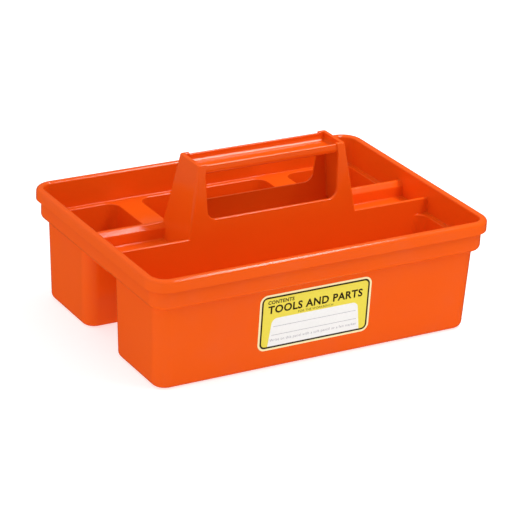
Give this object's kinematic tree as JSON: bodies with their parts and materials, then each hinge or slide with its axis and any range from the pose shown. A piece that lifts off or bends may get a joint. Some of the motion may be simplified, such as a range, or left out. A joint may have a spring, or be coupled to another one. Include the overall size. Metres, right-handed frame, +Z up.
{
  "type": "tool storage caddy",
  "caption": "Open carry caddy with a full-length front bin, rear cups, a centre channel and a moulded trough-grip handle over a tunnel.",
  "frame": {"origin": "bottom centre of the caddy, on the surface it stands on", "axes": "+X along the length, +Z up; the labelled front faces -Y"},
  "size_m": [0.38, 0.274, 0.1775],
  "materials": {
    "moulding": "glossy injection-moulded polypropylene, bright orange",
    "label": "printed adhesive label, satin film, yellow with a white panel"
  },
  "bodies": {
    "root": {"rim_lip": "moulding", "rim_band": "moulding", "front_bin_left_end": "moulding", "front_bin_middle": "moulding", "front_bin_right_end": "moulding", "rear_left_bin": "moulding", "rear_middle_bin": "moulding", "rear_right_bin": "moulding", "left_divider": "moulding", "right_divider": "moulding", "left_channel_floor": "moulding", "right_channel_floor": "moulding", "front_left_ridge": "moulding", "front_right_ridge": "moulding", "rear_left_ridge": "moulding", "rear_right_ridge": "moulding", "handle_left_upright": "moulding", "handle_right_upright": "moulding", "handle_front_panel": "moulding", "handle_rear_panel": "moulding", "handle_grip": "moulding", "label": "label"}
  },
  "joints": []
}
